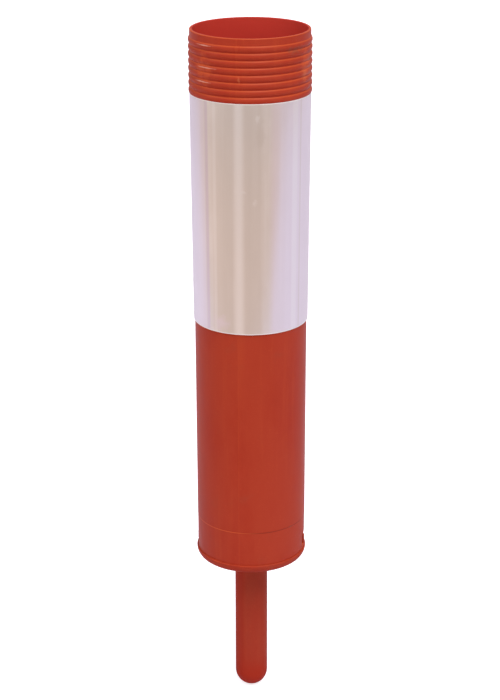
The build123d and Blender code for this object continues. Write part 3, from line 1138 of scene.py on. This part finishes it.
class POST_OT_screws(bpy.types.Operator):
    """Model the pan-head screws that hold the spike's flange"""

    bl_idname = "post.screws"
    bl_label = "Screws"

    def execute(self, context):
        scene = context.scene
        plug, spike = scene.post_plug, scene.post_spike
        collar = mounts["spike"]["dims"]["r_mm"] * MM + spike.collar_step
        ring = (2 * collar + plug.boss_wall) / 2
        head_top, head_base = screws_high.z, spike_high.z
        soft = spike.screw_head_height / 3
        profile = [
            (0.0, screws_low.z),
            (spike.screw_core - 0.4 * MM, screws_low.z),
            (spike.screw_core, screws_low.z + 0.8 * MM),
            (spike.screw_core, head_base),
            (spike.screw_head, head_base),
            *arc((spike.screw_head - soft, head_top - soft), soft, 0, 90, 5),
            (0.0, head_top),
        ]
        screw = turn_solid("screw", profile, 32)
        for turn in (0, math.pi / 2):
            deselect()
            bpy.ops.mesh.primitive_cube_add(size=1, location=(0, 0, head_top))
            slot = name_piece("recess")
            slot.dimensions = (2 * spike.recess_reach, spike.recess_width, 2 * spike.recess_depth)
            slot.rotation_euler.z = turn
            bpy.ops.object.transform_apply(location=True, rotation=True, scale=True)
            combine(screw, slot, "DIFFERENCE")
        work_on(screw)
        edit_all()
        bpy.ops.transform.translate(value=(ring, 0, 0))
        leave_edit()
        piece = join(copies_round(screw, spike.screw_count, math.pi / 2), "flange_screws")
        material = make_zinc(scene.post_finish)
        finish_piece(piece, material, "base", ["spike_screws"], 30)
        return {"FINISHED"}


# ---- stage ----

WARM_LIGHT = (1.0, 0.84, 0.77)
COOL_LIGHT = (1.0, 0.98, 1.0)
TOP_LIGHT = (1.0, 0.985, 0.96)
SOFTBOX_PLACE = (-1.9, -0.5, 1.5)
SOFTBOX_TARGET = (0, 0, 0.35)
SOFTBOX_SIDES = (0.9, 1.4)
SENSOR_WIDTH = 36


class POST_OT_stage(bpy.types.Operator):
    """Lay the floor, hang the lights and set up the camera"""

    bl_idname = "post.stage"
    bl_label = "Stage"

    def execute(self, context):
        scene = context.scene
        stage = scene.post_stage
        deselect()
        bpy.ops.mesh.primitive_plane_add(size=stage.floor_size, location=(0, 0, 0))
        floor = name_piece("studio_floor")
        edit_all()
        bpy.ops.transform.translate(value=(0, 0, cad_bounds[0].z))
        bpy.ops.mesh.subdivide(number_cuts=7)
        leave_edit()
        floor.data.materials.append(make_floor_paper(stage))

        world = bpy.data.worlds.new("soft room")
        world.use_nodes = True
        tree = world.node_tree
        room = tree.nodes["Background"].inputs
        rise = parts(tree, add(tree, "ShaderNodeTexCoord").outputs["Generated"])[2]
        put(tree, mix(tree, ramp(tree, rise, 0.05, 0.45), WARM_LIGHT, COOL_LIGHT), room["Color"])
        strength = ramp(tree, rise, 0.05, 0.55, stage.horizon_strength, stage.sky_strength)
        put(tree, strength, room["Strength"])
        scene.world = world
        scene.view_settings.view_transform = "Standard"

        bpy.ops.object.light_add(type="SUN", rotation=(stage.key_forward, stage.key_aside, 0))
        key = bpy.context.object
        key.name = "top light"
        key.data.energy = stage.key_strength
        key.data.angle = stage.key_spread
        key.data.color = TOP_LIGHT

        bpy.ops.object.light_add(type="AREA", location=SOFTBOX_PLACE)
        side = bpy.context.object
        side.name = "left softbox"
        side.data.shape = "RECTANGLE"
        side.data.size, side.data.size_y = SOFTBOX_SIDES
        side.data.energy = stage.side_strength
        aim = Vector(SOFTBOX_TARGET) - side.location
        side.rotation_euler = aim.to_track_quat("-Z", "Y").to_euler()

        bpy.ops.object.camera_add(location=(0, -stage.camera_back, stage.camera_height))
        camera = bpy.context.object
        camera.rotation_mode = "QUATERNION"
        level = Quaternion((1, 0, 0), math.pi / 2 - stage.camera_pitch)
        camera.rotation_quaternion = level @ Quaternion((0, 0, 1), stage.camera_roll)
        camera.data.sensor_width = SENSOR_WIDTH
        camera.data.lens = stage.camera_lens
        camera.data.shift_x = -0.0012
        camera.data.clip_end = 50
        scene.camera = camera
        return {"FINISHED"}


class POST_PT_panel(bpy.types.Panel):
    """Lists the post's pieces and their sizes"""

    bl_idname = "POST_PT_panel"
    bl_label = "Delineator post"
    bl_space_type = "VIEW_3D"
    bl_region_type = "UI"
    bl_category = "Post"

    def draw(self, context):
        layout = self.layout
        for operator, group in PIECES:
            layout.operator(operator.bl_idname)
            box = layout.box()
            settings = getattr(context.scene, group)
            for key in settings.__annotations__:
                box.prop(settings, key)


PIECES = (
    (POST_OT_tube, "post_tube"),
    (POST_OT_sleeve, "post_sleeve"),
    (POST_OT_plug, "post_plug"),
    (POST_OT_spike, "post_spike"),
    (POST_OT_screws, "post_finish"),
    (POST_OT_stage, "post_stage"),
)
SETTINGS = {
    "post_tube": TubeSettings,
    "post_sleeve": SleeveSettings,
    "post_plug": PlugSettings,
    "post_spike": SpikeSettings,
    "post_finish": FinishSettings,
    "post_stage": StageSettings,
}
CLASSES = (*SETTINGS.values(), *(operator for operator, _ in PIECES), POST_PT_panel)


def register():
    for cls in CLASSES:
        bpy.utils.register_class(cls)
    for name, settings in SETTINGS.items():
        setattr(bpy.types.Scene, name, bpy.props.PointerProperty(type=settings))


def unregister():
    for name in SETTINGS:
        delattr(bpy.types.Scene, name)
    for cls in reversed(CLASSES):
        bpy.utils.unregister_class(cls)


def main():
    register()
    make_place_group()
    make_grain_group()
    make_streak_group()
    make_scuff_group()
    make_parting_group()
    make_band_group()
    make_mark_group()
    bpy.ops.post.stage()
    bpy.ops.post.tube()
    bpy.ops.post.sleeve()
    bpy.ops.post.plug()
    bpy.ops.post.spike()
    bpy.ops.post.screws()
    deselect()


if __name__ == "__main__":
    main()
